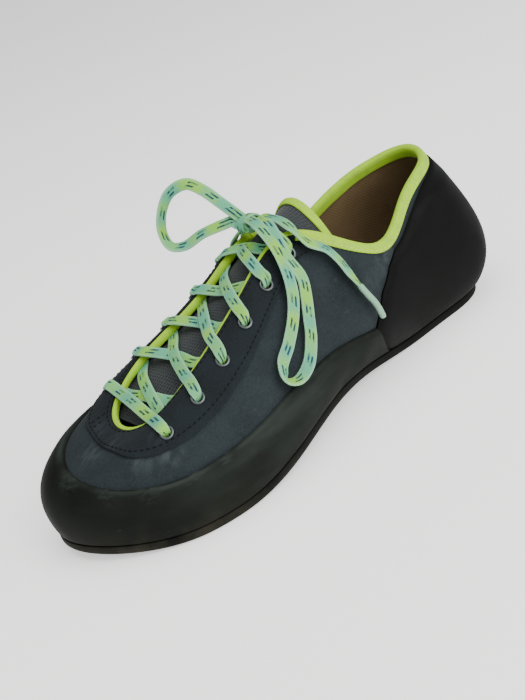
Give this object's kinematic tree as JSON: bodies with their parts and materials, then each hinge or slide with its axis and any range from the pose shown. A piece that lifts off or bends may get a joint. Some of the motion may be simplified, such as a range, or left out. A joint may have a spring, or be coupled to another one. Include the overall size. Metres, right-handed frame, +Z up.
{
  "type": "climbing shoe",
  "caption": "Left lace-up climbing shoe: hollow lasted upper, rubber sole, toe and heel rands, eyestay, bound collar and throat, tongue, and a lace tied in a bow.",
  "frame": {"origin": "on the floor, under the centre of the shoe's box without the bow", "axes": "+X to the toe, +Y to the outer side of the foot, +Z up from the floor"},
  "size_m": [0.261, 0.0928, 0.1128],
  "materials": {
    "sole_rubber": "matt moulded rubber, scuffed",
    "rand_rubber": "satin rubber, dusty at the toe",
    "heel_rubber": "satin rubber",
    "microfibre": "napped microfibre cloth",
    "facing": "smooth microfibre cloth, stitched",
    "binding_tape": "woven binding tape",
    "tongue_cloth": "padded mesh cloth",
    "footbed": "felted lining cloth",
    "eyelet_steel": "plated rolled metal",
    "lace_braid": "braided flat lace with flecks"
  },
  "bodies": {
    "root": {"outsole": "sole_rubber", "insole": "footbed", "upper": "microfibre", "rand": "rand_rubber", "heel_rand": "heel_rubber", "eyestay": "facing", "collar_binding": "binding_tape", "throat_binding": "binding_tape", "tongue": "tongue_cloth", "tongue_binding": "binding_tape", "eyelet_lateral_1": "eyelet_steel", "eyelet_lateral_2": "eyelet_steel", "eyelet_lateral_3": "eyelet_steel", "eyelet_lateral_4": "eyelet_steel", "eyelet_lateral_5": "eyelet_steel", "eyelet_lateral_6": "eyelet_steel", "eyelet_medial_1": "eyelet_steel", "eyelet_medial_2": "eyelet_steel", "eyelet_medial_3": "eyelet_steel", "eyelet_medial_4": "eyelet_steel", "eyelet_medial_5": "eyelet_steel", "eyelet_medial_6": "eyelet_steel", "lace_bar": "lace_braid", "lace_cross_1": "lace_braid", "lace_cross_2": "lace_braid", "lace_cross_3": "lace_braid", "lace_cross_4": "lace_braid", "lace_cross_5": "lace_braid", "lace_knot": "lace_braid", "lace_loop_lateral": "lace_braid", "lace_loop_medial": "lace_braid", "lace_end_lateral": "lace_braid", "lace_end_medial": "lace_braid"}
  },
  "joints": []
}
